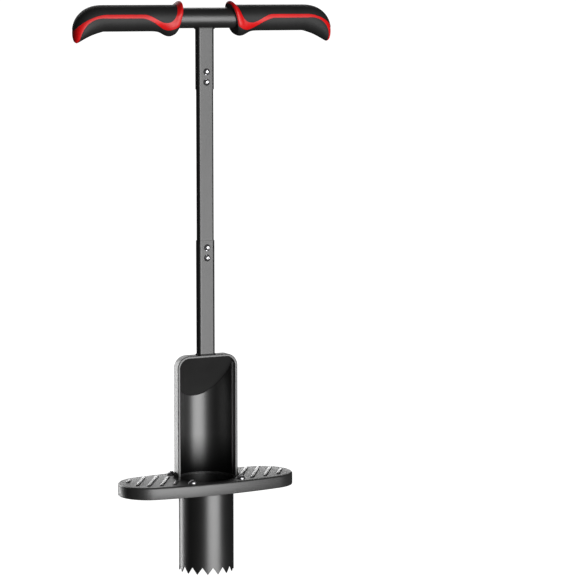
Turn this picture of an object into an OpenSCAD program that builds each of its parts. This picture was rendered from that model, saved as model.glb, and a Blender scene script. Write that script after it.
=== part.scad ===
// Step-on hole digger: a toothed cutting tube under an oval foot pedal, a soil chute,
// a three-piece flat shaft and a T handle with two-colour grips.
// Millimetres. The origin is on the cutting tube's axis, level with the tooth tips.
// +Z is up, +X runs along the handle and the pedal, and the chute opens towards -Y.

/* [Handle] */
// Height of the crossbar's axis above the tooth tips
bar_z = 765; // [720:5:850]
// Outside diameter of the crossbar
bar_d = 28; // [24:0.5:29]
// Length of the handle from grip tip to grip tip
handle_w = 386; // [360:2:420]
// Outside diameter of a grip's straight stretch
grip_d = 35; // [34:0.5:38]

/* [Shaft] */
// Width of the upper and lower shaft tubes
shaft_w = 25; // [22:0.5:28]
// Depth of the upper and lower shaft tubes, front to back
shaft_d = 12.5; // [11:0.5:13]
// Wall thickness of the shaft tubes
shaft_wall = 0.8; // [0.6:0.1:1.2]
// Height of the lower tube's top end
lower_top_z = 461; // [430:1:490]
// Height of the upper tube's bottom end
upper_bottom_z = 668; // [640:1:680]

/* [Chute] */
// Outside width of the chute's frame
frame_w = 91; // [90:0.5:96]
// Depth of the frame's flat bar, front to back
frame_d = 15; // [12:0.5:18]
// Thickness of the frame's flat bar
frame_t = 4; // [3:0.5:5]
// Height of the top of the frame
frame_z = 302.5; // [280:0.5:340]
// Outside radius of the frame's two bends
frame_r = 17.5; // [12:0.5:24]
// Slope of the chute's roof, in degrees from level
roof_angle = 51.5; // [45:0.5:56]

/* [Pedal] */
// Length of the pedal
pedal_l = 259; // [240:1:280]
// Width of the pedal at its middle
pedal_w = 100; // [98:1:110]
// Height of the pedal's tread
pedal_z = 131; // [110:1:150]
// Depth of the pedal's skirt, from the tread
pedal_h = 17; // [14:0.5:22]
// Spacing of the tread ribs along the pedal
rib_pitch = 19.75; // [16:0.25:26]

/* [Cutter] */
// Outside diameter of the cutting tube
cutter_d = 76.2; // [60:0.1:77]
// Wall thickness of the cutting tube
cutter_wall = 1.8; // [1.2:0.1:2.5]
// Number of teeth
tooth_count = 16; // [12:1:20]
// Height of a tooth
tooth_h = 10; // [6:0.5:14]
// Spacing of the cutter's bolts along the pedal
bolt_dx = 74; // [72:1:80]
// Spacing of the cutter's bolts across the pedal
bolt_dy = 70; // [68:1:72]

/* [Hidden] */
$fn = 96;
side_fn = 360;     // for the pedal's long arcs, which are hulled
end_fn = 64;       // for the arcs at the pedal's ends, which are hulled
ball_fn = 24;      // for the balls that are hulled into a grip's tip
far = 300;         // reach of a cutting block

// handle
bar_wall = 1.5;
bar_half = handle_w / 2 - 43;
grip_r = grip_d / 2;
pad_t = 2;                       // thickness of a grip's black pads
stripe_low = -0.7;               // the red stripe between the pads, from the bar's axis
stripe_high = 4.9;
flange_x = 44;                   // the hand stop at a grip's inner end
flange_t = 5;
flange_r = 24;
flange_half_y = 20;
flange_tilt = 17;
bump_r = 9;                      // swelling of the lower pad behind the hand stop
tip_x = handle_w / 2;
// balls that shape a grip's drooping tip: distance in from the tip, drop, radius
tip_balls = [[35, 0, grip_r], [23, 5, grip_r - 0.5], [15, 13.5, grip_r - 3.5], [10.6, 22, 10.6]];

// shaft
shaft_r = 4;                     // corner radius of the outer tubes
slip = 0.1;                      // gap between the nested tubes, each side
sleeve = 38;                     // length of the middle tube inside each outer tube
screw_zs = [9.7, 24];            // screw heights from the outer tube's open end
screw_hole_d = 5.4;
weld_leg = 1.2;

// chute
frame_edge_r = 1.2;
chute_ro = frame_w / 2 - frame_t;
chute_wall = 1.5;
roof_t = 1.5;
roof_y = 1 - frame_d / 2;        // where the roof's underside meets the frame
frame_in_z = frame_z - frame_t;

// pedal: four tangent arcs, two long ones and two round the ends
pedal_t = 2.5;
side_r = 563;
half_l = pedal_l / 2;
half_w = pedal_w / 2;
end_r = (2 * side_r * half_w - half_w * half_w - half_l * half_l) / (2 * (side_r - half_l));
end_x = half_l - end_r;
end_a = atan2(side_r - half_w, end_x);
edge_r = 3;                      // rounding of the tread's edge
rib_w = 5.5;
rib_h = 2;
rib_angle = 57;
rib_x0 = -2.3;                   // where the middle rib's line would cross the pedal's long axis
rib_inset = 15.5;                // from the pedal's outline to a rib's end
rib_clear_x = 50.5;              // the ribs stay this far from the chute
rib_reach = 60;
rib_r = (rib_h * rib_h + rib_w * rib_w / 4) / (2 * rib_h);
hole_r = cutter_d / 2 + 0.4;

// cutter
plate_t = 2;
plate_l = bolt_dx + 24;
plate_w = bolt_dy + 14;
plate_r = 5;
plate_top = pedal_z - pedal_t;
cutter_weld_leg = 3;
bolt_hole_d = 6.6;
washer_d = 12;
washer_t = 1.6;
bolt_d = 6;
bolt_l = 16;
bolt_spots = [for (x = [-1, 1], y = [-1, 1]) [x * bolt_dx / 2, y * bolt_dy / 2]];

// ---- shared shapes ----

module rounded_bar(w, d, r) {
    square([w - 2 * r, d], center = true);
    square([w, d - 2 * r], center = true);
    for (x = [-1, 1], y = [-1, 1]) translate([x * (w / 2 - r), y * (d / 2 - r)]) circle(r);
}

// an outline drawn in Y and Z, extruded along X
module along_x(length) { rotate([90, 0, 90]) linear_extrude(length, center = true) children(); }

// a round bar along X
module x_bar(d, length) { rotate([0, 90, 0]) cylinder(d = d, h = length, center = true); }

// a socket button-head screw standing on z = 0, its shank pointing down
module button_screw(d, head_d, head_h, socket, length) {
    dome_r = (head_h * head_h + head_d * head_d / 4) / (2 * head_h);
    difference() {
        intersection() {
            translate([0, 0, head_h - dome_r]) sphere(dome_r);
            cylinder(d = head_d, h = head_h);
        }
        translate([0, 0, head_h * 0.35]) cylinder(d = socket / cos(30), h = head_h, $fn = 6);
    }
    translate([0, 0, -length]) cylinder(d = d, h = length + head_h * 0.3);
}

module hex_nut(d, flats, h) {
    difference() {
        cylinder(d = flats / cos(30), h = h, $fn = 6);
        translate([0, 0, -1]) cylinder(d = d + 0.1, h = h + 2);
    }
}

// ---- shaft ----

module shaft_tube(w, d, r, z0, z1) {
    translate([0, 0, z0]) linear_extrude(z1 - z0) difference() {
        rounded_bar(w, d, r);
        rounded_bar(w - 2 * shaft_wall, d - 2 * shaft_wall, r - shaft_wall);
    }
}

module joint_holes(zs) {
    for (z = zs) translate([0, 0, z]) rotate([90, 0, 0]) cylinder(d = screw_hole_d, h = 40, center = true);
}

upper_screw_zs = [for (z = screw_zs) upper_bottom_z + z];
lower_screw_zs = [for (z = screw_zs) lower_top_z - z];

module upper_shaft() {
    color("#3a3a3c") difference() {
        shaft_tube(shaft_w, shaft_d, shaft_r, upper_bottom_z, bar_z - bar_d / 4);
        translate([0, 0, bar_z]) x_bar(bar_d, 60);
        joint_holes(upper_screw_zs);
    }
}

module middle_shaft() {
    inset = 2 * (shaft_wall + slip);
    color("#3a3a3c") difference() {
        shaft_tube(shaft_w - inset, shaft_d - inset, shaft_r - inset / 2,
            lower_top_z - sleeve, upper_bottom_z + sleeve);
        joint_holes(concat(upper_screw_zs, lower_screw_zs));
    }
}

module lower_shaft() {
    color("#3a3a3c") difference() {
        shaft_tube(shaft_w, shaft_d, shaft_r, frame_z, lower_top_z);
        joint_holes(lower_screw_zs);
    }
}

// the bead where the shaft stands on the chute's frame
module shaft_weld() {
    color("#2c2c2e") translate([0, 0, frame_z]) linear_extrude(weld_leg) difference() {
        rounded_bar(shaft_w + 2 * weld_leg, shaft_d + 2 * weld_leg, shaft_r + weld_leg);
        rounded_bar(shaft_w, shaft_d, shaft_r);
    }
}

module joint_screws(zs) {
    color("#c8c8cc") for (z = zs) translate([0, -shaft_d / 2, z]) rotate([90, 0, 0])
        button_screw(5, 9.5, 2.75, 3, 18);
}

module joint_nuts(zs) {
    color("#b8b8bc") for (z = zs) translate([0, shaft_d / 2, z]) rotate([-90, 0, 0]) hex_nut(5, 8, 4);
}

// ---- handle ----

module crossbar() {
    color("#3a3a3c") translate([0, 0, bar_z]) difference() {
        x_bar(bar_d, 2 * bar_half);
        x_bar(bar_d - 2 * bar_wall, 2 * bar_half + 2);
    }
}

// the bead round the coped top of the upper tube
module crossbar_weld() {
    bead_low = bar_z - bar_d / 2 - weld_leg;
    color("#2c2c2e") difference() {
        translate([0, 0, bead_low]) linear_extrude(bar_d / 6) difference() {
            rounded_bar(shaft_w + 2 * weld_leg, shaft_d + 2 * weld_leg, shaft_r + weld_leg);
            rounded_bar(shaft_w, shaft_d, shaft_r);
        }
        translate([0, 0, bar_z]) x_bar(bar_d, 60);
    }
}

// the right grip's whole outside, pulled in by g, with z = 0 on the bar's axis
module grip_body(g) {
    straight_end = tip_x - tip_balls[0][0];
    translate([straight_end / 2, 0, 0]) x_bar(2 * (grip_r - g), straight_end);
    for (i = [0 : len(tip_balls) - 2]) hull() {
        tip_ball(tip_balls[i], g);
        tip_ball(tip_balls[i + 1], g);
    }
}

module tip_ball(ball, g) {
    translate([tip_x - ball[0], 0, -ball[1]]) sphere(ball[2] - g, $fn = ball_fn);
}

// a block that starts at the hand stop's plane, moved along its axis by shift
module past_flange(shift) {
    translate([flange_x, 0, 0]) rotate([0, -flange_tilt, 0])
        translate([shift, -far / 2, -far / 2]) cube([far, far, far]);
}

module flange() {
    intersection() {
        translate([flange_x, 0, 0]) rotate([0, -flange_tilt, 0]) x_bar(2 * flange_r, flange_t);
        cube([far, 2 * flange_half_y, far], center = true);
    }
}

module grip_core() {
    difference() {
        union() {
            intersection() {
                union() {
                    grip_body(pad_t);
                    intersection() {
                        translate([tip_x / 2, 0, 0]) x_bar(grip_d, tip_x - 2 * tip_balls[0][0]);
                        translate([-far / 2, -far / 2, stripe_low])
                            cube([far * 2, far, stripe_high - stripe_low]);
                    }
                }
                past_flange(0);
            }
            flange();
        }
        x_bar(bar_d + 0.1, 2 * bar_half + 0.2);
    }
}

// one black pad: the outer skin above or below the stripe
module grip_pad(z0) {
    intersection() {
        difference() {
            union() {
                grip_body(0);
                if (z0 < 0) translate([flange_x + bump_r, 0, bump_r - flange_r]) sphere(bump_r);
            }
            grip_body(pad_t - slip);
        }
        past_flange(flange_t / 2 + slip);
        translate([-far / 2, -far / 2, z0]) cube([far * 2, far, far]);
    }
}

module top_pad() { grip_pad(stripe_high + slip); }
module bottom_pad() { grip_pad(stripe_low - slip - far); }
module on_bar(side) { translate([0, 0, bar_z]) mirror([side < 0 ? 1 : 0, 0, 0]) children(); }

// ---- chute ----

module frame_section() { rounded_bar(frame_t, frame_d, frame_edge_r); }

// a flat bar bent into an arch that stands on the pedal
module chute_frame() {
    color("#47474a") {
        for (side = [0, 1]) mirror([side, 0, 0]) {
            translate([(frame_w - frame_t) / 2, 0, pedal_z])
                linear_extrude(frame_z - frame_r - pedal_z) frame_section();
            translate([frame_w / 2 - frame_r, 0, frame_z - frame_r]) rotate([90, 0, 0])
                rotate_extrude(angle = 90) translate([frame_r - frame_t / 2, 0]) frame_section();
        }
        translate([0, 0, frame_z - frame_t / 2]) rotate([0, 90, 0])
            linear_extrude(frame_w - 2 * frame_r, center = true) frame_section();
    }
}

// the space inside the arch, run out to front and back
module frame_opening() {
    in_r = frame_r - frame_t;
    rotate([90, 0, 0]) linear_extrude(far, center = true) {
        translate([-chute_ro, 0]) square([2 * chute_ro, frame_in_z - in_r]);
        translate([in_r - chute_ro, 0]) square([2 * (chute_ro - in_r), frame_in_z]);
        for (x = [-1, 1]) translate([x * (chute_ro - in_r), frame_in_z - in_r]) circle(in_r);
    }
}

// the sloping slab between two planes parallel to the roof's underside
module roof_slab(low, high) {
    drop = (far - roof_y) * tan(roof_angle);
    lift = 1 / cos(roof_angle);
    along_x(far) polygon([[roof_y, frame_in_z + low * lift], [far, frame_in_z - drop + low * lift],
        [far, frame_in_z - drop + high * lift], [roof_y, frame_in_z + high * lift]]);
}

// the half pipe that turns the soil out to the front
module chute_shell() {
    color("#2e2e30") difference() {
        intersection() {
            translate([0, 0, pedal_z]) rotate_extrude(angle = 180) translate([chute_ro - chute_wall, 0])
                square([chute_wall, frame_z - pedal_z]);
            frame_opening();
        }
        roof_slab(0, far);
    }
}

module chute_roof() {
    color("#38383a") intersection() {
        roof_slab(0, roof_t);
        frame_opening();
        union() {
            cylinder(r = chute_ro, h = far * 2);
            translate([-chute_ro, roof_y, 0]) cube([2 * chute_ro, -roof_y, far * 2]);
        }
        translate([-far / 2, roof_y, 0]) cube([far, far, far * 2]);
    }
}

// beads outside the arch's feet and round the back of the half pipe
module chute_weld() {
    foot_w = 4.5;
    foot_h = 9;
    back_leg = 2.5;
    skip = asin(frame_d / 2 / chute_ro) + 3;
    color("#2c2c2e") {
        for (side = [0, 1]) mirror([side, 0, 0]) translate([frame_w / 2, 0, pedal_z])
            rotate([90, 0, 0]) linear_extrude(frame_d - 2 * frame_edge_r, center = true)
                polygon([[0, 0], [foot_w, 0], [0, foot_h]]);
        translate([0, 0, pedal_z]) rotate([0, 0, skip]) rotate_extrude(angle = 180 - 2 * skip)
            polygon([[chute_ro, 0], [chute_ro + back_leg, 0], [chute_ro, back_leg]]);
    }
}

// ---- pedal ----

// the pedal's outline pulled in by g
module pedal_oval(g) {
    intersection() {
        translate([0, half_w - side_r]) circle(side_r - g, $fn = side_fn);
        translate([0, side_r - half_w]) circle(side_r - g, $fn = side_fn);
        square([2 * (end_x + (end_r - g) * cos(end_a)), pedal_w * 2], center = true);
    }
    for (side = [-1, 1]) translate([side * end_x, 0]) circle(end_r - g, $fn = end_fn);
}

// a deck with a rounded edge and a skirt, hollow below
module pedal_pressing() {
    difference() {
        hull() for (turn = [0, 45, 90]) translate([0, 0, -pedal_h])
            linear_extrude(pedal_h - edge_r * (1 - sin(turn))) pedal_oval(edge_r * (1 - cos(turn)));
        translate([0, 0, -pedal_h - 1]) hull() linear_extrude(pedal_h - pedal_t + 1) pedal_oval(pedal_t);
    }
}

// true where a rib's centre line may run
function on_tread(x, y) = abs(x) > rib_clear_x && (abs(x) < end_x
    ? norm([x, abs(y) + side_r - half_w]) < side_r - rib_inset
    : norm([abs(x) - end_x, y]) < end_r - rib_inset);

module tread_ribs() {
    steps = ceil(half_l / rib_pitch) + 1;
    for (i = [-steps : steps]) {
        x0 = rib_x0 + i * rib_pitch;
        run = [for (t = [-rib_reach : 0.5 : rib_reach])
            if (on_tread(x0 + t * cos(rib_angle), t * sin(rib_angle))) t];
        if (len(run) > 12) rib(x0, min(run), max(run));
    }
}

module rib(x0, from, to) {
    intersection() {
        translate([x0, 0, rib_h - rib_r]) rotate([0, 0, rib_angle]) {
            translate([(from + to) / 2, 0, 0]) x_bar(2 * rib_r, to - from);
            for (t = [from, to]) translate([t, 0, 0]) sphere(rib_r);
        }
        translate([-far, -far, -pedal_t / 2]) cube([2 * far, 2 * far, far]);
    }
}

module pedal() {
    color("#4a4a4c") difference() {
        translate([0, 0, pedal_z]) {
            pedal_pressing();
            tread_ribs();
        }
        translate([0, 0, pedal_z - 20]) {
            cylinder(r = hole_r, h = 40);
            for (spot = bolt_spots) translate(spot) cylinder(d = bolt_hole_d, h = 40);
        }
    }
}

// ---- cutter ----

module cutter_plate() {
    color("#333335") translate([0, 0, plate_top - plate_t]) linear_extrude(plate_t) difference() {
        rounded_bar(plate_l, plate_w, plate_r);
        circle(d = cutter_d);
        for (spot = bolt_spots) translate(spot) circle(d = bolt_hole_d);
    }
}

// a tube with V gaps cut up from its lower edge, leaving one tooth at the very front
module cutter_tube() {
    pitch_a = 360 / tooth_count;
    gap = cutter_d / 2 * sin(pitch_a / 2) - 0.2;
    below = 1;
    color("#2b2b2d") difference() {
        cylinder(d = cutter_d, h = plate_top);
        translate([0, 0, -1]) cylinder(d = cutter_d - 2 * cutter_wall, h = plate_top + 2);
        for (i = [0 : tooth_count - 1]) rotate([0, 0, (i + 0.5) * pitch_a - 90])
            translate([cutter_d / 2, 0, 0]) along_x(cutter_d / 3)
                polygon([[-gap * (1 + below / tooth_h), -below], [gap * (1 + below / tooth_h), -below],
                    [0, tooth_h]]);
    }
}

module cutter_weld() {
    color("#242426") translate([0, 0, plate_top - plate_t]) rotate_extrude()
        polygon([[cutter_d / 2, 0], [cutter_d / 2 + cutter_weld_leg, 0], [cutter_d / 2, -cutter_weld_leg]]);
}

module cutter_bolts() {
    color("#c8c8cc") for (spot = bolt_spots) translate([spot[0], spot[1], pedal_z + washer_t])
        button_screw(bolt_d, 10.5, 3.3, 4, bolt_l);
}

module cutter_washers() {
    under = plate_top - plate_t - washer_t;
    color("#b8b8bc") for (spot = bolt_spots, z = [pedal_z, under]) translate([spot[0], spot[1], z])
        linear_extrude(washer_t) difference() {
            circle(d = washer_d);
            circle(d = bolt_d + 0.4);
        }
}

module cutter_nuts() {
    nut_h = 5;
    color("#b8b8bc") for (spot = bolt_spots)
        translate([spot[0], spot[1], plate_top - plate_t - washer_t - nut_h]) hex_nut(bolt_d, 10, nut_h);
}

crossbar();
crossbar_weld();
upper_shaft();
middle_shaft();
lower_shaft();
shaft_weld();
joint_screws(upper_screw_zs);  // upper_joint_screws
joint_nuts(upper_screw_zs);  // upper_joint_nuts
joint_screws(lower_screw_zs);  // lower_joint_screws
joint_nuts(lower_screw_zs);  // lower_joint_nuts
color("#c22026") on_bar(-1) grip_core();  // left_grip_core
color("#303032") on_bar(-1) top_pad();  // left_grip_top_pad
color("#303032") on_bar(-1) bottom_pad();  // left_grip_bottom_pad
color("#c22026") on_bar(1) grip_core();  // right_grip_core
color("#303032") on_bar(1) top_pad();  // right_grip_top_pad
color("#303032") on_bar(1) bottom_pad();  // right_grip_bottom_pad
chute_frame();
chute_shell();
chute_roof();
chute_weld();
pedal();
cutter_plate();
cutter_tube();
cutter_weld();
cutter_bolts();
cutter_washers();
cutter_nuts();
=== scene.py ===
import math
import bmesh
import bpy
from mathutils import Matrix, Vector


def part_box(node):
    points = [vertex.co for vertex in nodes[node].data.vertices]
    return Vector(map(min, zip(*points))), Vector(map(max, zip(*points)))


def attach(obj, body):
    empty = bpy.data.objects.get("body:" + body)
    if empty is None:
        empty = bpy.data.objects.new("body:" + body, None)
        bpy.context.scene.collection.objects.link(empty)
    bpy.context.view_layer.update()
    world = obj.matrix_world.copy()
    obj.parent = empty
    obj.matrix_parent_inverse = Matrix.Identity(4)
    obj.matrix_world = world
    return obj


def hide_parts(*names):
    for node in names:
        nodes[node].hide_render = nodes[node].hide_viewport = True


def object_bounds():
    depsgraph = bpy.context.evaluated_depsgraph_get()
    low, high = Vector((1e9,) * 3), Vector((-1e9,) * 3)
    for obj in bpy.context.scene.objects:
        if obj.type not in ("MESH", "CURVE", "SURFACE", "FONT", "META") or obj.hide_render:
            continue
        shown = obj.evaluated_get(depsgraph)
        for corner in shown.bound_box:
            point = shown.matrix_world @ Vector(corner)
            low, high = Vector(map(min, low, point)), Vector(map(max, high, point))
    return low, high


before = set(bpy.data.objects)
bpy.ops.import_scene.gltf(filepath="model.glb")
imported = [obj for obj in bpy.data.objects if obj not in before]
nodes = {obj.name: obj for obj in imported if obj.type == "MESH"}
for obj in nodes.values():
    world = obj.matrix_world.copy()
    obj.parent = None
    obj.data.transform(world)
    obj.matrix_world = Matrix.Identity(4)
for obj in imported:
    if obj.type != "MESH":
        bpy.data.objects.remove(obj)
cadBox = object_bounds()
scene = bpy.context.scene
mm = 0.001
print("frame loaded with", len(nodes), "CAD nodes")


def middle(node):
    low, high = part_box(node)
    return (low + high) / 2


def size(node):
    low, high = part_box(node)
    return high - low


class Flow:
    # a socket of a material; sums and products of flows add Math nodes
    def __init__(self, shop, socket):
        self.shop = shop
        self.socket = socket

    def sum(self, kind, first, second):
        return self.shop.node("ShaderNodeMath", {"operation": kind}, first, second)

    def __add__(self, other):
        return self.sum("ADD", self, other)

    def __radd__(self, other):
        return self.sum("ADD", other, self)

    def __sub__(self, other):
        return self.sum("SUBTRACT", self, other)

    def __rsub__(self, other):
        return self.sum("SUBTRACT", other, self)

    def __mul__(self, other):
        return self.sum("MULTIPLY", self, other)

    def __rmul__(self, other):
        return self.sum("MULTIPLY", other, self)


class Shop:
    # one material and the nodes that feed its shader
    def __init__(self, name, **fixed):
        self.material = bpy.data.materials.new(name)
        self.material.use_nodes = True
        self.tree = self.material.node_tree
        self.shader = self.tree.nodes["Principled BSDF"]
        for socket, value in fixed.items():
            self.shader.inputs[socket.replace("_", " ")].default_value = value

    def node(self, kind, settings, *values, out=0, chosen=None, **named):
        made = self.tree.nodes.new(kind)
        for name, value in settings.items():
            setattr(made, name, value)
        fed = list(enumerate(values)) + list(named.items()) + list((chosen or {}).items())
        for index, value in fed:
            socket = made.inputs[index.replace("_", " ") if isinstance(index, str) else index]
            if isinstance(value, Flow):
                self.tree.links.new(value.socket, socket)
            else:
                socket.default_value = value
        return Flow(self, made.outputs[out])

    def place(self):
        return self.node("ShaderNodeTexCoord", {}, out="Object")

    def stretched(self, scale):
        return self.node("ShaderNodeMapping", {}, self.place(), Scale=scale)

    def noise(self, perMetre, detail=3.0, rough=0.55, where=None):
        return self.node("ShaderNodeTexNoise", {}, Vector=where or self.place(), Scale=perMetre,
                         Detail=detail, Roughness=rough)

    def cells(self, perMetre, where=None):
        return self.node("ShaderNodeTexVoronoi", {}, Vector=where or self.place(), Scale=perMetre)

    def spread(self, flow, low, high, fromLow=0.3, fromHigh=0.7):
        return self.node("ShaderNodeMapRange", {}, flow, fromLow, fromHigh, low, high)

    def blend(self, amount, first, second):
        # sockets 6 and 7 and output 2 are the Mix node's colours
        fed = {0: amount, 6: (*first, 1), 7: (*second, 1)}
        return self.node("ShaderNodeMix", {"data_type": "RGBA"}, chosen=fed, out=2)

    def feed(self, **flows):
        for socket, flow in flows.items():
            self.tree.links.new(flow.socket, self.shader.inputs[socket.replace("_", " ")])

    def relief(self, height, depth):
        bump = self.node("ShaderNodeBump", {}, Height=height, Distance=depth, Strength=1.0)
        self.feed(Normal=bump)


def powderCoat(name, dark, light, roughness, grain, depth, gloss=1.0, paintedShadeHeights=None):
    # baked powder paint: broad drift of tone, fine orange peel, a faint satin mottle
    shop = Shop(name, Specular_IOR_Level=gloss)
    drift = shop.noise(14, detail=2)
    peel = shop.noise(grain, detail=2, rough=0.5)
    speck = shop.noise(grain * 2.7, detail=1)
    tone = shop.spread(drift * 0.5 + peel * 0.3 + speck * 0.2, 0.0, 1.0, 0.38, 0.62)
    rough = shop.spread(peel * 0.6 + drift * 0.4, roughness - 0.05, roughness + 0.05)
    if paintedShadeHeights:
        # the coat's gloss fades out downwards between two heights, a painted shade over the lower part of
        # the half pipe
        height = shop.node("ShaderNodeSeparateXYZ", {}, shop.place(), out=2)
        shop.feed(Coat_Weight=shop.spread(height, 0.0, 1.0, *paintedShadeHeights))
        shop.shader.inputs["Coat Roughness"].default_value = roughness
        shop.shader.inputs["Coat IOR"].default_value = 1.8
    shop.feed(Base_Color=shop.blend(tone, dark, light), Roughness=rough)
    shop.relief(peel * 0.7 + speck * 0.3, depth)
    return shop.material


def treadCoat(name, dark, light, crest):
    # coarse powder paint, rubbed smooth on the crests of the ribs
    shop = Shop(name, Specular_IOR_Level=1.0)
    drift, grain = shop.noise(16, detail=2), shop.noise(900, detail=3)
    height = shop.node("ShaderNodeSeparateXYZ", {}, shop.place(), out=2)
    rubbed = shop.spread(height, 0.0, 1.0, crest - 1.7 * mm, crest - 1.2 * mm)
    tone = shop.spread(drift * 0.4 + grain * 0.6, 0.0, 1.0, 0.36, 0.64)
    shop.feed(Base_Color=shop.blend(tone, dark, light),
              Roughness=shop.spread(grain, 0.4, 0.5) - rubbed * 0.17)
    shop.relief(grain * (1 - rubbed), 0.12 * mm)
    return shop.material


def weldedCoat(name, dark, light, roughness):
    # paint over a weld bead: the puddle's ripples and a few spots of spatter
    shop = Shop(name)
    ripples = shop.noise(520, detail=3, rough=0.6)
    spatter = shop.spread(shop.cells(260), 1.0, 0.0, 0.0, 0.45)
    shop.feed(Base_Color=shop.blend(shop.spread(ripples, 0.0, 1.0), dark, light),
              Roughness=shop.spread(ripples, roughness - 0.08, roughness + 0.1))
    shop.relief(ripples * 0.7 + spatter * 0.3, 0.35 * mm)
    return shop.material


def zincPlate(name):
    # bright zinc: slight cloudiness and fine turning marks
    shop = Shop(name, Metallic=1.0)
    cloud = shop.noise(380, detail=3)
    turning = shop.noise(2600, detail=1, where=shop.stretched((1, 1, 0.2)))
    shop.feed(Base_Color=shop.blend(shop.spread(cloud, 0.0, 1.0), (0.62, 0.62, 0.64), (0.84, 0.84, 0.86)),
              Roughness=shop.spread(cloud * 0.6 + turning * 0.4, 0.2, 0.34))
    shop.relief(turning, 0.02 * mm)
    return shop.material


def mouldedRubber(name, dark, light, roughness, depth, gloss=0.5):
    # soft moulded skin: spark-eroded grain with a slow drift of tone
    shop = Shop(name, Specular_IOR_Level=gloss)
    drift = shop.noise(30, detail=2)
    grain = shop.noise(2400, detail=2, rough=0.6)
    pits = shop.spread(shop.cells(2600), 0.0, 1.0, 0.1, 0.6)
    tone = shop.spread(drift * 0.6 + grain * 0.4, 0.0, 1.0, 0.36, 0.64)
    shop.feed(Base_Color=shop.blend(tone, dark, light),
              Roughness=shop.spread(grain, roughness - 0.05, roughness + 0.05))
    shop.relief(grain * 0.5 + pits * 0.5, depth)
    return shop.material


def grey(value):
    return (value, value, value)


framePaint = powderCoat("framePaint", grey(0.009), grey(0.014), 0.36, 1500, 0.03 * mm)
shaftPaint = powderCoat("shaftPaint", grey(0.006), grey(0.010), 0.36, 1700, 0.025 * mm, 0.8)
barPaint = powderCoat("barPaint", grey(0.009), grey(0.013), 0.38, 1700, 0.025 * mm)
# the half pipe's gloss fades out towards its bottom: a painted shade
chutePaint = powderCoat("chutePaint", grey(0.003), grey(0.005), 0.38, 1500, 0.025 * mm, 0.1, (0.135, 0.185))
roofPaint = powderCoat("roofPaint", grey(0.012), grey(0.017), 0.42, 1500, 0.025 * mm)
pedalPaint = treadCoat("pedalPaint", grey(0.010), grey(0.020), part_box("pedal")[1].z)
cutterPaint = powderCoat("cutterPaint", grey(0.004), grey(0.006), 0.38, 1900, 0.004 * mm)
weldPaint = weldedCoat("weldPaint", grey(0.006), grey(0.012), 0.42)
zinc = zincPlate("zinc")
redRubber = mouldedRubber("redRubber", (0.56, 0.003, 0.004), (0.72, 0.006, 0.007), 0.42, 0.02 * mm, 0.4)
blackRubber = mouldedRubber("blackRubber", grey(0.011), grey(0.016), 0.56, 0.05 * mm, 0.38)
print("materials made")


def faceOutwards(bm):
    # even normals first, then each separate shell turned so that its volume counts as positive
    bmesh.ops.recalc_face_normals(bm, faces=bm.faces)
    left = set(bm.faces)
    while left:
        shell, waiting = set(), [left.pop()]
        while waiting:
            face = waiting.pop()
            shell.add(face)
            near = {other for side in face.edges for other in side.link_faces if other in left}
            left -= near
            waiting += near
        volume = sum(face.calc_center_median().dot(face.normal) * face.calc_area() for face in shell)
        if volume < 0:
            bmesh.ops.reverse_faces(bm, faces=list(shell))


finishSpec = {"weld": 0.002 * mm, "sharpAngle": 38, "bevelAngle": 40, "bevelSegments": 3}


def finishPiece(bm, name, replaced, material, sharpAngle=finishSpec["sharpAngle"], bevel=None):
    # a closed mesh with its place in its vertices, riding on the one body
    bmesh.ops.remove_doubles(bm, verts=bm.verts, dist=finishSpec["weld"])
    faceOutwards(bm)
    mesh = bpy.data.meshes.new(name)
    bm.to_mesh(mesh)
    bm.free()
    piece = bpy.data.objects.new(name, mesh)
    scene.collection.objects.link(piece)
    mesh.materials.append(material)
    mesh.shade_smooth()
    mesh.set_sharp_from_angle(angle=math.radians(sharpAngle))
    if bevel:
        edge = piece.modifiers.new("edge", "BEVEL")
        edge.width = bevel
        edge.segments = finishSpec["bevelSegments"]
        edge.limit_method = "ANGLE"
        edge.angle_limit = math.radians(finishSpec["bevelAngle"])
    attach(piece, "root")
    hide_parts(*replaced)


def ring(bm, count):
    # a unit circle of vertices in the XY plane, in order round it
    made = bmesh.ops.create_circle(bm, segments=count, radius=1.0, cap_ends=False)["verts"]
    return sorted(made, key=lambda v: math.atan2(v.co.y, v.co.x) % math.tau)


def edgesOf(verts):
    chosen = set(verts)
    return list({e for v in verts for e in v.link_edges if all(end in chosen for end in e.verts)})


def bridge(bm, first, second):
    bmesh.ops.bridge_loops(bm, edges=edgesOf(first) + edgesOf(second))


def capRing(bm, verts):
    bmesh.ops.holes_fill(bm, edges=edgesOf(verts), sides=0)


def loft(bm, count, rules, closed=False):
    # a grid wrapped to a tube: each row is a ring placed by its own rule
    # closed joins the last row to the first
    rows = rules + rules[:1] if closed else rules
    grid = bmesh.ops.create_grid(bm, x_segments=count, y_segments=len(rows) - 1, size=1.0)["verts"]
    grid = sorted(grid, key=lambda v: (round(v.co.y, 5), v.co.x))
    for index, vert in enumerate(grid):
        row, column = divmod(index, count + 1)
        vert.co = rows[row](math.tau * (column % count) / count)
    rings = [grid[row * (count + 1):(row + 1) * (count + 1)] for row in range(len(rows))]
    seams = [vert for loop in rings for vert in (loop[0], loop[-1])]
    bmesh.ops.remove_doubles(bm, verts=grid if closed else seams, dist=0.0001 * mm)
    return [[vert for vert in loop if vert.is_valid] for loop in rings]


cameraSpec = {
    "lens": 157.75, "sensor": 36, "farClip": 200,
    "distance": 3.4545, "azimuth": -25.366, "height": 0.8036, "heading": 27.254, "down": 6.751,
}


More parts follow.
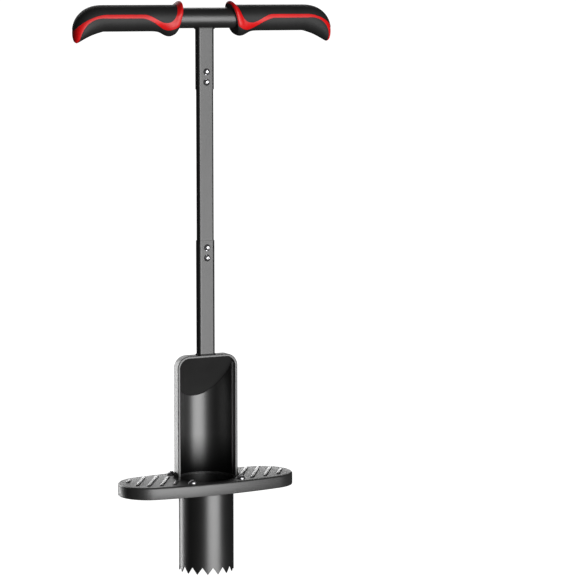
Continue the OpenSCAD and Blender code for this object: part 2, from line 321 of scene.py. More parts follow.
def makeCamera(spec):
    lensData = bpy.data.cameras.new("camera")
    lensData.lens = spec["lens"]
    lensData.sensor_width = spec["sensor"]
    lensData.clip_end = spec["farClip"]
    camera = bpy.data.objects.new("camera", lensData)
    turn = math.radians(spec["azimuth"])
    reach = spec["distance"]
    camera.location = (reach * math.sin(turn), -reach * math.cos(turn), spec["height"])
    camera.rotation_euler = (math.radians(90 - spec["down"]), 0, -math.radians(spec["heading"]))
    scene.collection.objects.link(camera)
    scene.camera = camera


# softboxes: direction from the tool in degrees, distance, width, height and brightness
lightSpec = {
    "front": {"azimuth": 6, "elevation": -7, "distance": 3.0, "wide": 2.7, "high": 2.8, "bright": 5.8},
    "back": {"azimuth": 168, "elevation": 32, "distance": 3.2, "wide": 3.0, "high": 2.0, "bright": 1.9},
    "horizon": {"azimuth": 157, "elevation": 4, "distance": 3.2, "wide": 1.8, "high": 0.4, "bright": 5.0},
}
# a narrow card behind the tool that only its lower half picks up
rimSpec = {"place": (-0.275, 0.5, 0.2), "wide": 0.15, "high": 0.9, "bright": 7.2}
horizonReceivers = ("pedalPressing", "toothedTube", "cutterBolts")
rimReceivers = ("chute_frame", "toothedTube", "pedalPressing")
worldBright = 0.035


def softbox(name, place, aim, wide, high, bright):
    lamp = bpy.data.lights.new(name, "AREA")
    lamp.shape = "RECTANGLE"
    lamp.size = wide
    lamp.size_y = high
    lamp.energy = bright * math.pi * wide * high
    box = bpy.data.objects.new(name, lamp)
    box.location = place
    box.rotation_euler = (aim - place).to_track_quat("-Z", "Y").to_euler()
    box.visible_camera = False
    scene.collection.objects.link(box)
    return box


def linkLight(box, receivers):
    lit = bpy.data.collections.new(box.name + "Receivers")
    for name in receivers:
        lit.objects.link(bpy.data.objects[name])
    box.light_linking.receiver_collection = lit


def makeLights():
    for name, spec in lightSpec.items():
        aim = Vector((0, 0, treadZ)) if name == "horizon" else (cadBox[0] + cadBox[1]) / 2
        turn, rise = math.radians(spec["azimuth"]), math.radians(spec["elevation"])
        level = math.cos(rise)
        way = Vector((math.sin(turn) * level, -math.cos(turn) * level, math.sin(rise)))
        place = aim + way * spec["distance"]
        box = softbox(name, place, aim, spec["wide"], spec["high"], spec["bright"])
        if name == "horizon":
            linkLight(box, horizonReceivers)
    spec = rimSpec
    place = Vector(spec["place"])
    aim = Vector((0, 0, place.z))
    rim = softbox("rim", place, aim, spec["wide"], spec["high"], spec["bright"])
    linkLight(rim, rimReceivers)
    world = bpy.data.worlds.new("studio")
    world.use_nodes = True
    world.node_tree.nodes["Background"].inputs["Color"].default_value = (1, 1, 1, 1)
    world.node_tree.nodes["Background"].inputs["Strength"].default_value = worldBright
    scene.world = world
    scene.view_settings.view_transform = "Standard"


stageSpec = {"radius": 14.0, "glow": 1.06, "domeGlow": 1.1, "paint": 0.25, "mottle": 1.04}


def makeStage(spec):
    # a pale floor that takes the tool's shadow, and a pale dome over it; neither lights the tool
    floorShop = Shop("paleFloor", Roughness=1.0, Specular_IOR_Level=0.0, Emission_Strength=spec["glow"])
    cloud = floorShop.spread(floorShop.noise(3, detail=2), 0.0, 1.0)
    pale, paler = grey(spec["paint"]), grey(spec["paint"] * spec["mottle"])
    floorShop.feed(Base_Color=floorShop.blend(cloud, pale, paler))
    floorShop.shader.inputs["Emission Color"].default_value = (1, 1, 1, 1)
    domeShop = Shop("paleDome", Roughness=1.0, Specular_IOR_Level=0.0, Emission_Strength=spec["domeGlow"])
    domeShop.shader.inputs["Base Color"].default_value = (0, 0, 0, 1)
    domeShop.shader.inputs["Emission Color"].default_value = (1, 1, 1, 1)
    for name, shop in (("floor", floorShop), ("dome", domeShop)):
        bm = bmesh.new()
        if name == "floor":
            bmesh.ops.create_circle(bm, segments=96, radius=spec["radius"], cap_ends=True)
        else:
            bmesh.ops.create_uvsphere(bm, u_segments=48, v_segments=24, radius=spec["radius"])
            bmesh.ops.reverse_faces(bm, faces=bm.faces)
        mesh = bpy.data.meshes.new(name)
        bm.to_mesh(mesh)
        bm.free()
        thing = bpy.data.objects.new(name, mesh)
        mesh.materials.append(shop.material)
        scene.collection.objects.link(thing)
        thing.visible_diffuse = False
        thing.visible_glossy = False
        thing.visible_transmission = False
        thing.visible_shadow = False


makeCamera(cameraSpec)
makeStage(stageSpec)
print("camera and stage made")


barAxis = middle("crossbar").z
barRadius = size("crossbar").z / 2
handleEnd = cadBox[1].x

# lengths in mm from the middle of the bar outwards, heights from its axis
gripSpec = {
    "radius": 17.8, "straightEnd": 150.0, "around": 72,
    # the drooping tip: its outer curve is centred below the axis and turns through tipTurn degrees
    "droop": 19.0, "tipTurn": 110.0, "tipRise": 36.8, "tipSquare": 0.88, "tipShoulder": 0.92,
    # its lower curve, and how thin an inset may leave it
    "tipSide": 37.6, "tipFall": 15.2, "fallEase": 1.3, "fallHold": 0.12,
    "leastHalf": 1.2, "leastShrink": 0.2, "leastWide": 0.3,
    # the hand stop's inner face leans out going up, and the lean dies away along the bar
    "face": 41.0, "lean": 0.26, "leanFrom": 50, "leanRun": 40,
    "stopHigh": 5.3, "stopSide": 0.8, "stopAt": 3.2, "stopWide": 4.3,
    # the bump under the hand stop, steeper on its inner side
    "bumpHigh": 7.0, "bumpAt": 46.5, "bumpWide": 14.0, "bumpSteep": 0.7, "bumpRound": 1.6,
    # lower edge of the top pad: an arch round the hand stop, then a rise to the stripe
    "stripeHigh": 4.9, "archTop": 13, "archHigh": 19.5, "archAt": 65, "archWide": 13, "archPower": 2.8,
    "topFrom": 66, "topRun": 30,
    # upper edge of the bottom pad: a shallow curl, then a rise to the stripe
    "stripeLow": -0.25, "curlLow": -16.9, "curl": 0.03, "lowFrom": 57, "lowRun": 43,
    # the pads' grids, where they start and how far into the tip they reach
    "padAcross": 40, "padAlong": 70, "padTip": 29, "pad": 2.0,
    "topStart": 52.02, "topReach": 0.78, "lowStart": 0.2, "lowReach": 0.985,
    "shift": 2.4, "shiftFrom": 60, "shiftRun": 40, "barEase": 1.5, "tipEase": 1.6,
    # how the pads' edges close on the tip's end
    "closeTop": 0.995, "closeEase": 3.2, "crown": 0.15, "tuck": 0.8, "tuckEase": 12,
    # the core: how deep it sits under the pads, and its bore round the bar
    "recess": 0.55, "bore": 8.0,
}


def smooth(value):
    value = min(max(value, 0.0), 1.0)
    return value * value * (3 - 2 * value)


def gripRadius(x, lift, spec):
    # radius of the grip at x along the bar; lift is the sine of the angle above the front
    stop = math.exp(-((x - spec["face"] - spec["stopAt"]) / spec["stopWide"]) ** 2)
    stopHigh = spec["stopSide"] * (1 - abs(lift)) + spec["stopHigh"] * max(lift, 0.0)
    wide = spec["bumpWide"] if x > spec["bumpAt"] else spec["bumpWide"] * spec["bumpSteep"]
    bump = math.exp(-((x - spec["bumpAt"]) / wide) ** 2) * max(-lift, 0.0) ** spec["bumpRound"]
    return spec["radius"] + stop * stopHigh + spec["bumpHigh"] * bump


def gripPoint(x, angle, radius, spec):
    # a point at a station of the bar; stations near the hand stop lean with its face
    rise = radius * math.sin(angle)
    lean = spec["lean"] * rise * (1 - smooth((x - spec["leanFrom"]) / spec["leanRun"]))
    return Vector(((x - lean) * mm, -radius * math.cos(angle) * mm, barAxis + rise * mm))


def gripTip(along, angle, inset, spec):
    # a point on the drooping tip, along = 0 where it starts and 1 at its very end
    curve = math.radians(90 - spec["tipTurn"] * along)
    reach = handleEnd / mm - spec["straightEnd"]
    across, rise = max(math.cos(curve), 0.0) ** spec["tipSquare"], math.sin(curve)
    if rise > 0:
        rise **= spec["tipShoulder"]
    top = Vector((spec["straightEnd"] + reach * across, -spec["droop"] + spec["tipRise"] * rise))
    fall = along ** spec["fallEase"]
    sag = max(fall - spec["fallHold"] * math.sin(math.pi * fall), 0)
    lowX = spec["straightEnd"] + spec["tipSide"] * fall
    low = Vector((lowX, -spec["radius"] - spec["tipFall"] * sag))
    centre, half = (top + low) / 2, (top - low) / 2
    shrink = max(1 - inset / max(half.length, spec["leastHalf"]), spec["leastShrink"])
    wide = max(spec["radius"] * math.sqrt(max(1 - along ** 3, 0.0)) - inset, spec["leastWide"])
    spot = centre + half * math.sin(angle) * shrink
    return Vector((spot.x * mm, -wide * math.cos(angle) * mm, barAxis + spot.y * mm))


def gripSide(x, angle, inset, spec):
    # a point on the straight stretch, the bump or the hand stop
    return gripPoint(x, angle, gripRadius(x, math.sin(angle), spec) - inset, spec)


def stripeTop(x, spec):
    # lower edge of the top pad
    if x > spec["topFrom"]:
        low = spec["archTop"] - spec["archHigh"]
        return low + (spec["stripeHigh"] - low) * smooth((x - spec["topFrom"]) / spec["topRun"])
    power = spec["archPower"]
    arch = max(1 - (abs(spec["archAt"] - x) / spec["archWide"]) ** power, 0.0) ** (1 / power)
    return spec["archTop"] - spec["archHigh"] * arch


def stripeBottom(x, spec):
    # upper edge of the bottom pad
    low = spec["curlLow"]
    if x > spec["lowFrom"]:
        return low + (spec["stripeLow"] - low) * smooth((x - spec["lowFrom"]) / spec["lowRun"])
    return low + (spec["lowFrom"] - x) ** 2 * spec["curl"]


def angleAt(x, height, spec):
    # the angle above the front at which the grip's surface passes through a height
    def clamped(value):
        return max(-1.0, min(1.0, value))
    lift = height / spec["radius"]
    for _ in range(12):
        lift = clamped(height / gripRadius(x, clamped(lift), spec))
    return math.asin(lift)


def padSheet(bm, upper, inset, spec):
    # one skin of a pad, a grid laid row by row from its inner end to the tip
    across, alongBar, alongTip = spec["padAcross"], spec["padAlong"], spec["padTip"]
    start = spec["topStart"] - spec["shift"] if upper else spec["face"] + spec["lowStart"]
    reach = spec["topReach"] if upper else spec["lowReach"]
    stripe = stripeTop if upper else stripeBottom
    rows = alongBar + alongTip
    grid = bmesh.ops.create_grid(bm, x_segments=across, y_segments=rows - 1, size=1.0)["verts"]
    grid = sorted(grid, key=lambda v: (round(v.co.y, 5), v.co.x))
    for index, vert in enumerate(grid):
        row, column = divmod(index, across + 1)
        onBar = row < alongBar
        if onBar:
            x = start + (spec["straightEnd"] - start) * (row / alongBar) ** spec["barEase"]
            near = x + spec["shift"] * (1 - smooth((x - spec["shiftFrom"]) / spec["shiftRun"]))
            edge = angleAt(x, stripe(near, spec), spec)
        else:
            along = reach * (1 - (1 - (row - alongBar) / (alongTip - 1)) ** spec["tipEase"])
            if upper:
                low = spec["stripeHigh"] / spec["radius"]
                edge = math.asin(low + (spec["closeTop"] - low) * (along / reach) ** spec["closeEase"])
            else:
                low = spec["stripeLow"] / spec["radius"]
                crown = spec["crown"] * math.sin(math.pi * along)
                edge = math.asin(low + crown - spec["tuck"] * along ** spec["tuckEase"])
        last = (math.pi if upper else -math.pi) - edge
        angle = edge + (last - edge) * column / across
        vert.co = gripSide(x, angle, inset, spec) if onBar else gripTip(along, angle, inset, spec)


def innerFace(bm, spec):
    # the lower pad's flange, a thin washer over the hand stop's inner face
    gap, proud, deep = 0.1, 0.3, 1
    bore = barRadius / mm + gap

    def rule(x, share):
        def point(angle):
            # the rim draws in toward the top, where the core's lip shows round it
            lift = math.sin(angle)
            margin = gap + 1.3 * smooth((lift + 0.75) / 0.4)
            rim = gripRadius(spec["face"], lift, spec) - margin
            return gripPoint(x, angle, bore + (rim - bore) * share, spec)
        return point
    face = spec["face"]
    rules = [rule(face - gap, 0), rule(face - proud, 0.2), rule(face - proud, 0.8),
             rule(face - gap, 1), rule(face + deep, 1), rule(face + deep, 0)]
    loft(bm, spec["around"], rules, closed=True)


def coreRules(spec):
    # the red core from the bar, over the hand stop, along the stripe to the tip
    def barRing(x):
        return lambda angle: gripPoint(x, angle, barRadius / mm + 0.05, spec)

    def sideRing(x, inset):
        # sunk under the pads; the lower pad starts right behind the inner face
        under = smooth((x - 47) / 4)

        def point(angle):
            sunk = max(under, smooth((-math.sin(angle) - 0.45) / 0.2))
            return gripSide(x, angle, inset + spec["recess"] * sunk, spec)
        return point

    def tipRing(along):
        return lambda angle: gripTip(along, angle, spec["recess"] * (1 - along ** 6), spec)

    rules = [barRing(spec["face"] + spec["bore"]), barRing(spec["face"])]
    # the rounded lip of the hand stop, then stations every 1 mm and every 4 mm
    rules += [sideRing(spec["face"] + share, inset)
              for share, inset in ((0.0, 3.2), (0.05, 2.0), (0.45, 0.9), (1.1, 0.25), (2.0, 0.0))]
    rules += [sideRing(44 + k, 0) for k in range(26)]
    rules += [sideRing(69 + 4 * k, 0) for k in range(1, 20)]
    rules += [tipRing(1 - (1 - k / 26) ** 1.7) for k in range(27)]
    return rules


def makeGrip(side, spec):
    flip = Matrix.Scale(-1 if side == "left" else 1, 4, (1, 0, 0))
    bm = bmesh.new()
    rings = loft(bm, spec["around"], coreRules(spec))
    capRing(bm, rings[0])
    capRing(bm, rings[-1])
    bmesh.ops.transform(bm, matrix=flip, verts=bm.verts)
    finishPiece(bm, side + "GripCore", [side + "_grip_core"], redRubber)
    for upper in (True, False):
        bm = bmesh.new()
        for inset in (0, spec["pad"]):
            padSheet(bm, upper, inset, spec)
        bmesh.ops.bridge_loops(bm, edges=[edge for edge in bm.edges if edge.is_boundary])
        if not upper:
            innerFace(bm, spec)
        bmesh.ops.transform(bm, matrix=flip, verts=bm.verts)
        label = "TopPad" if upper else "BottomPad"
        node = side + ("_grip_top_pad" if upper else "_grip_bottom_pad")
        finishPiece(bm, side + label, [node], blackRubber)


for gripSideName in ("left", "right"):
    makeGrip(gripSideName, gripSpec)
print("grips made")


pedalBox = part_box("pedal")
pedalSpec = {
    "length": size("pedal").x, "width": size("pedal").y, "skirt": 17 * mm,
    "sheet": 2.5 * mm, "edge": 3 * mm, "lip": 0.5 * mm, "bend": 1.5 * mm, "bendCut": 0.45 * mm,
    "sideRadius": 563 * mm, "endSteps": 14, "sideSteps": 22,
    "holeGap": 0.4 * mm, "boltHole": 3.3 * mm,
    "ribHigh": 2 * mm, "ribWide": 5.5 * mm, "ribPitch": 19.75 * mm, "ribTurn": 57,
    "ribStart": -2.3 * mm, "ribInset": 13 * mm, "ribClear": 50.5 * mm,
    # each rib's run is found at points ribStep apart, ribScan of them either way from its middle
    "ribStep": 0.5 * mm, "ribScan": 120, "ribLeast": 12,
}
treadZ = pedalBox[1].z - pedalSpec["ribHigh"]
boltHead = 10.5
boltX = (size("cutter_bolts").x - boltHead * mm) / 2
boltY = (size("cutter_bolts").y - boltHead * mm) / 2
boltSpots = [(x * boltX, y * boltY) for x in (-1, 1) for y in (-1, 1)]


def pedalArcs(spec):
    # half length, half width, end radius, end centre and the angle where the arcs meet
    halfL, halfW, sideR = spec["length"] / 2, spec["width"] / 2, spec["sideRadius"]
    endR = (2 * sideR * halfW - halfW ** 2 - halfL ** 2) / (2 * (sideR - halfL))
    return halfL, halfW, endR, halfL - endR, math.atan2(sideR - halfW, halfL - endR)


def pedalLoop(bm, inset, z, spec):
    # the outline pulled in by inset: four arcs, each spun from the end of the last
    halfL, halfW, endR, endX, meet = pedalArcs(spec)
    sideR = spec["sideRadius"]
    start = bm.verts.new((halfL - inset, 0, z))
    vert, loop = start, [start]
    endSteps, sideSteps = spec["endSteps"], spec["sideSteps"]
    turns = [((endX, 0), meet, endSteps), ((0, halfW - sideR), math.pi - 2 * meet, sideSteps),
             ((-endX, 0), 2 * meet, 2 * endSteps),
             ((0, sideR - halfW), math.pi - 2 * meet, sideSteps), ((endX, 0), meet, endSteps)]
    for (x, y), angle, steps in turns:
        known = set(bm.verts)
        spun = bmesh.ops.spin(bm, geom=[vert], cent=(x, y, z), axis=(0, 0, 1), angle=angle,
                              steps=steps, space=Matrix.Identity(4))
        vert = [item for item in spun["geom_last"] if isinstance(item, bmesh.types.BMVert)][0]
        loop += [v for v in bm.verts if v not in known]
    bmesh.ops.pointmerge(bm, verts=[start, vert], merge_co=start.co)
    return [v for v in loop if v.is_valid]


def circleLoop(bm, centre, radius, z, count):
    loop = ring(bm, count)
    for vert in loop:
        vert.co = Vector((centre[0] + vert.co.x * radius, centre[1] + vert.co.y * radius, z))
    return loop


def onTread(x, y, spec):
    # whether a point is far enough inside the outline for a rib
    _, halfW, endR, endX, _ = pedalArcs(spec)
    sideR = spec["sideRadius"]
    if abs(x) < endX:
        return math.hypot(x, abs(y) + sideR - halfW) < sideR - spec["ribInset"]
    return math.hypot(abs(x) - endX, y) < endR - spec["ribInset"]


def addRib(bm, x0, first, last, spec):
    # a ball pulled out to a half-round bar and set into the tread
    ball = bmesh.ops.create_uvsphere(bm, u_segments=24, v_segments=12, radius=spec["ribWide"] / 2)["verts"]
    for vert in ball:
        vert.co.x += (last if vert.co.x > 0 else first)
        vert.co.z *= spec["ribHigh"] / (spec["ribWide"] / 2)
    place = Matrix.Translation((x0, 0, treadZ)) @ Matrix.Rotation(math.radians(spec["ribTurn"]), 4, "Z")
    bmesh.ops.transform(bm, matrix=place, verts=ball)


def makePedal(spec):
    # one sheet: its outline in section runs over the edge, down the skirt and up again inside
    bm = bmesh.new()
    hole = size("cutter_tube").x / 2 + spec["holeGap"]
    low = treadZ - spec["skirt"]
    section = []
    for step in range(7):
        turn = math.radians(90 * step / 6)
        section.append((spec["edge"] * (1 - math.sin(turn)), treadZ - spec["edge"] * (1 - math.cos(turn))))
    sheet, lip, bend, cut = spec["sheet"], spec["lip"], spec["bend"], spec["bendCut"]
    under = treadZ - sheet
    section += [(0, low + lip), (lip * 0.3, low + lip * 0.3), (lip, low), (sheet - lip, low),
                (sheet - lip * 0.3, low + lip * 0.3), (sheet, low + lip),
                (sheet, under - bend), (sheet + cut, under - cut), (sheet + bend, under)]
    loops = []
    for inset, z in section:
        loops.append(pedalLoop(bm, inset, z, spec))
        if len(loops) > 1:
            bridge(bm, loops[-2], loops[-1])
    topRims, lowRims = [], []
    for centre, radius, count in [((0, 0), hole, 96)] + [(spot, spec["boltHole"], 24) for spot in boltSpots]:
        topRim = circleLoop(bm, centre, radius, treadZ, count)
        lowRim = circleLoop(bm, centre, radius, under, count)
        bridge(bm, topRim, lowRim)
        topRims += edgesOf(topRim)
        lowRims += edgesOf(lowRim)
    bmesh.ops.triangle_fill(bm, edges=edgesOf(loops[0]) + topRims, use_beauty=True)
    bmesh.ops.triangle_fill(bm, edges=edgesOf(loops[-1]) + lowRims, use_beauty=True)
    reach = int(spec["length"] / 2 / spec["ribPitch"]) + 2
    turn = math.radians(spec["ribTurn"])
    for index in range(-reach, reach + 1):
        x0 = spec["ribStart"] + index * spec["ribPitch"]
        run = [t for t in (k * spec["ribStep"] for k in range(-spec["ribScan"], spec["ribScan"] + 1))
               if abs(x0 + t * math.cos(turn)) > spec["ribClear"]
               and onTread(x0 + t * math.cos(turn), t * math.sin(turn), spec)]
        if len(run) > spec["ribLeast"]:
            addRib(bm, x0, run[0], run[-1], spec)
    finishPiece(bm, "pedalPressing", ["pedal"], pedalPaint, sharpAngle=50)


makePedal(pedalSpec)
print("pedal made")


cutterSpec = {
    "teeth": 16, "toothHigh": 10 * mm, "wall": 1.8 * mm, "perTooth": 10, "edge": 0.22 * mm,
    "seam": 1.5,  # height of the ring above the teeth, in tooth heights
}


def makeCutter(spec):
    # a tube with teeth cut in its lower edge, lofted up its outside and down its inside
    bm = bmesh.new()
    radius = size("cutter_tube").x / 2
    inner = radius - spec["wall"]
    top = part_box("cutter_tube")[1].z
    above = spec["toothHigh"] * spec["seam"]
    count = spec["teeth"] * spec["perTooth"]

    def sawLevel(angle):
        share = (angle / math.tau * spec["teeth"] + spec["teeth"] / 4) % 1
        return spec["toothHigh"] * (1 - abs(2 * share - 1))

    def rule(radiusHere, level):
        return lambda angle: Vector((radiusHere * math.cos(angle), radiusHere * math.sin(angle),
                                     level if level is not None else sawLevel(angle)))
    rules = [rule(radius, None), rule(radius, above), rule(radius, top),
             rule(inner, top), rule(inner, above), rule(inner, None)]
    loft(bm, count, rules, closed=True)
    finishPiece(bm, "toothedTube", ["cutter_tube"], cutterPaint, bevel=spec["edge"])


makeCutter(cutterSpec)
print("cutter made")


# sizes in mm
jointScrew = {"head": 9.5, "high": 2.75, "socket": 3, "shank": 5, "length": 18, "pitch": 0.8}
cutterBolt = {"head": boltHead, "high": 3.3, "socket": 4, "shank": 6, "length": 16, "pitch": 1.0}
jointNut = {"flats": 8.0, "high": 4.0, "bore": 5.1}
cutterNut = {"flats": 10.0, "high": 5.0, "bore": 6.1}
fastenerSharp = 30
fastenerSides = 24


def hexRadius(angle, flats):
    # distance from the middle of a hexagon to its side
    return flats / 2 / math.cos((angle + math.pi / 6) % (math.pi / 3) - math.pi / 6)


def addScrew(bm, place, spec):
    # a button-head socket screw standing on z = 0 with its shank below
    head, high, socket = spec["head"] / 2, spec["high"], spec["socket"]
    length, pitch, crest = spec["length"], spec["pitch"], spec["shank"] / 2
    dome = (high ** 2 + head ** 2) / (2 * high)
    root = crest - 0.45 * pitch

    def circle(radius, z):
        return lambda a: place @ Vector((radius * math.cos(a) * mm, radius * math.sin(a) * mm, z * mm))

    def hexagon(flats, z):
        return lambda a: place @ Vector((hexRadius(a, flats) * math.cos(a) * mm,
                                         hexRadius(a, flats) * math.sin(a) * mm, z * mm))
    rules = [circle(root, -length)]
    for k in range(int((length - 2) / pitch)):
        z = -length + 0.3 + k * pitch
        rules += [circle(crest, z + pitch * 0.35), circle(root, z + pitch * 0.85)]
    rules += [circle(crest, -1.0), circle(crest, 0), circle(head - 0.3, 0), circle(head, 0.25)]
    # the domed top, from its rim in to the flat round the socket
    rim = socket / 2 * 1.28
    for k in range(1, 7):
        radius = head - (head - rim) * k / 7
        rules.append(circle(radius, high - dome + math.sqrt(dome ** 2 - radius ** 2)))
    rules += [circle(rim, high), hexagon(socket * 1.06, high - 0.05), hexagon(socket, high - 0.3),
              hexagon(socket, high * 0.35)]
    rings = loft(bm, fastenerSides, rules)
    capRing(bm, rings[0])
    capRing(bm, rings[-1])


def addNut(bm, place, spec):
    # a hexagon with chamfered corners and a threaded bore, from z = 0 up
    flats, high, bore = spec["flats"], spec["high"], spec["bore"] / 2
    # the flat face's circle, the wider one where the chamfer meets the hexagon, and the bore's chamfer
    flatRim, wideRim, chamfer = flats / 2 * 0.97, flats / 2 * 1.02, 0.4

    def rule(radius, z, hexagonal):
        def point(a):
            r = min(hexRadius(a, flats), radius) if hexagonal else radius
            return place @ Vector((r * math.cos(a) * mm, r * math.sin(a) * mm, z * mm))
        return point
    rules = [rule(bore, chamfer, False), rule(bore + chamfer, 0, False), rule(flatRim, 0, False),
             rule(wideRim, 0.15, True), rule(flats, 0.75, True), rule(flats, high - 0.75, True),
             rule(wideRim, high - 0.15, True), rule(flatRim, high, False),
             rule(bore + chamfer, high, False), rule(bore, high - chamfer, False)]
    loft(bm, fastenerSides, rules, closed=True)


def standing(place, way):
    # a frame at place whose z axis points along way
    return Matrix.Translation(place) @ Vector(way).to_track_quat("Z", "Y").to_matrix().to_4x4()


def makeSet(name, node, add, spec, places, way):
    # the same fastener at several places, as one piece
    bm = bmesh.new()
    for place in places:
        add(bm, standing(place, way), spec)
    finishPiece(bm, name, [node], zinc, sharpAngle=fastenerSharp)


def makeFasteners():
    faceY = size("upper_shaft").y / 2
    for joint in ("upper", "lower"):
        screws, nuts = joint + "_joint_screws", joint + "_joint_nuts"
        lowZ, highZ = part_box(screws)[0].z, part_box(screws)[1].z
        heights = [lowZ + jointScrew["head"] / 2 * mm, highZ - jointScrew["head"] / 2 * mm]
        front, rear = [(0, -faceY, z) for z in heights], [(0, faceY, z) for z in heights]
        makeSet(joint + "JointScrews", screws, addScrew, jointScrew, front, (0, -1, 0))
        makeSet(joint + "JointNuts", nuts, addNut, jointNut, rear, (0, 1, 0))
    washerZ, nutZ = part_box("cutter_washers")[1].z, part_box("cutter_nuts")[0].z
    above, below = [(x, y, washerZ) for x, y in boltSpots], [(x, y, nutZ) for x, y in boltSpots]
    makeSet("cutterBolts", "cutter_bolts", addScrew, cutterBolt, above, (0, 0, 1))
    makeSet("cutterNuts", "cutter_nuts", addNut, cutterNut, below, (0, 0, 1))


makeFasteners()
print("fasteners made")


# sizes in mm, turns in degrees
weldSpec = {
    "step": 0.45, "ripple": 1.9, "swell": 0.16, "round": 20, "shaftCorner": 4.0,
    "shaftLeg": 1.5, "barLeg": 1.6, "backLeg": 2.8, "seamLeg": 0.9,
    # a bead's radius and how far its middle stands off the corner, in legs
    "fat": 0.62, "off": 0.33,
    "footWide": 4.9, "footHigh": 10.0, "footStart": 7.4,
    "footRows": 34, "footRound": 30, "footSwell": 0.1, "footTaper": 0.35, "footSunk": 0.2,
    # the half pipe's bead stops backGap radians from the arch; the roof's seam runs round its inside
    "backGap": 0.05, "backSteps": 60, "seamStart": 14, "seamTurn": 152, "seamSteps": 80,
    "roofSlope": 51.5, "shellWall": 1.5,
}


def walk(points, step, closed):
    # points at even steps along a path in mm, each with its heading
    ends = points + points[:1] if closed else points
    spots = []
    spare = 0.0
    for a, b in zip(ends, ends[1:]):
        run = (b - a).length
        while spare < run:
            spots.append((a.lerp(b, spare / run), (b - a).normalized()))
            spare += step
        spare -= run
    return spots


def roundedPath(width, depth, corner):
    # a rounded rectangle round the z axis, anticlockwise
    points = []
    for quarter in range(4):
        sideX = 1 if quarter in (0, 3) else -1
        sideY = 1 if quarter < 2 else -1
        for k in range(7):
            turn = math.radians(90 * quarter + 15 * k)
            points.append(Vector((sideX * (width / 2 - corner) + corner * math.cos(turn),
                                  sideY * (depth / 2 - corner) + corner * math.sin(turn), 0)))
    return points


def addBead(bm, points, leg, spec, closed=True, hang=1):
    # a rippled bead in the corner outside a path; hang = -1 puts it below
    rules = []
    for count, (spot, heading) in enumerate(walk(points, spec["step"], closed)):
        outward = Vector((heading.y, -heading.x, 0)).normalized()
        swell = 1 + spec["swell"] * (abs(math.sin(math.pi * count * spec["step"] / spec["ripple"])) - 0.6)

        def rule(angle, spot=spot, outward=outward, swell=swell):
            radius, off = spec["fat"] * leg * swell, spec["off"] * leg
            out, up = off + radius * math.cos(angle), off + radius * math.sin(angle)
            return (spot + outward * out + Vector((0, 0, hang * up))) * mm
        rules.append(rule)
    rings = loft(bm, spec["round"], rules, closed)
    if not closed:
        capRing(bm, rings[0])
        capRing(bm, rings[-1])


def addFoot(bm, side, footX, floor, spec):
    # the hollow flare of weld outside one foot of the arch
    start, rows, sunk = spec["footStart"], spec["footRows"], spec["footSunk"]
    rules = []
    for k in range(rows):
        y = -start + 2 * start * k / (rows - 1)
        wave = abs(math.sin(math.pi * k * spec["step"] / spec["ripple"])) - 0.5
        swell = 1 + spec["footSwell"] * wave - spec["footTaper"] * abs(y / start) ** 6
        wide, high = spec["footWide"] * swell, spec["footHigh"] * swell

        def rule(angle, y=y, wide=wide, high=high):
            # 0.6 of the turn is the hollow face, then the underside and the side on the arch
            share = angle / math.tau
            if share < 0.6:
                turn = math.pi / 2 * share / 0.6
                out, up = wide * (1 - math.cos(turn)), high * (1 - math.sin(turn))
            elif share < 0.8:
                out, up = wide * (0.8 - share) / 0.2, -sunk
            else:
                out, up = -sunk, high * (share - 0.8) / 0.2
            return Vector((side * (footX + out), y, floor + up)) * mm
        rules.append(rule)
    rings = loft(bm, spec["footRound"], rules)
    capRing(bm, rings[0])
    capRing(bm, rings[-1])


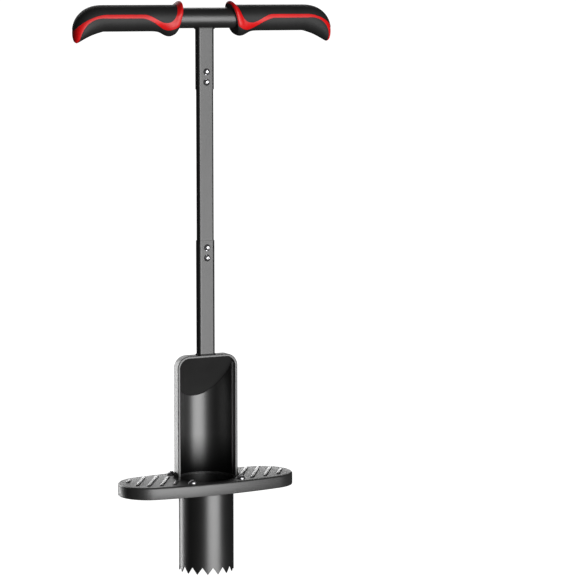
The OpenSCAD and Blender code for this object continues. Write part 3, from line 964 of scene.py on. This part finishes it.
def makeWelds(spec):
    outline = roundedPath(size("lower_shaft").x / mm, size("lower_shaft").y / mm, spec["shaftCorner"])
    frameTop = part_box("chute_frame")[1].z / mm
    bm = bmesh.new()
    addBead(bm, [point + Vector((0, 0, frameTop)) for point in outline], spec["shaftLeg"], spec)
    finishPiece(bm, "shaftBead", ["shaft_weld"], weldPaint)
    radius, axis = barRadius / mm, barAxis / mm
    saddle = [point + Vector((0, 0, axis - math.sqrt(radius ** 2 - point.y ** 2))) for point in outline]
    bm = bmesh.new()
    addBead(bm, saddle, spec["barLeg"], spec, hang=-1)
    finishPiece(bm, "crossbarBead", ["crossbar_weld"], weldPaint)
    bm = bmesh.new()
    footX, floor = size("chute_frame").x / 2 / mm, treadZ / mm
    for side in (-1, 1):
        addFoot(bm, side, footX, floor, spec)
    pipe, steps = size("chute_shell").x / 2 / mm, spec["backSteps"]
    skip = math.asin(size("chute_frame").y / 2 / mm / pipe) + spec["backGap"]
    sweep = [skip + (math.pi - 2 * skip) * k / steps for k in range(steps + 1)]
    foot = [Vector((pipe * math.cos(a), pipe * math.sin(a), floor)) for a in sweep]
    addBead(bm, foot, spec["backLeg"], spec, closed=False)
    # the fine seam under the roof, where it meets the inside of the half pipe
    roofLow, roofHigh = (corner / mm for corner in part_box("chute_roof"))
    inside, steps = pipe - spec["shellWall"], spec["seamSteps"]
    slope = math.tan(math.radians(spec["roofSlope"]))
    seam = []
    for k in reversed(range(steps + 1)):
        turn = math.radians(spec["seamStart"] + spec["seamTurn"] * k / steps)
        x, y = inside * math.cos(turn), inside * math.sin(turn)
        seam.append(Vector((x, y, roofLow.z + (roofHigh.y - y) * slope)))
    addBead(bm, seam, spec["seamLeg"], spec, closed=False, hang=-1)
    finishPiece(bm, "chuteBeads", ["chute_weld"], weldPaint)


makeWelds(weldSpec)
print("welds made")

keptFinishes = {
    "crossbar": barPaint, "upper_shaft": shaftPaint, "middle_shaft": shaftPaint, "lower_shaft": shaftPaint,
    "chute_frame": framePaint, "chute_shell": chutePaint, "chute_roof": roofPaint,
    "cutter_plate": cutterPaint, "cutter_weld": weldPaint, "cutter_washers": zinc,
}
for nodeName, finish in keptFinishes.items():
    nodes[nodeName].data.materials.clear()
    nodes[nodeName].data.materials.append(finish)
print("finishes given to", len(keptFinishes), "CAD pieces")

makeLights()
print("lights made")
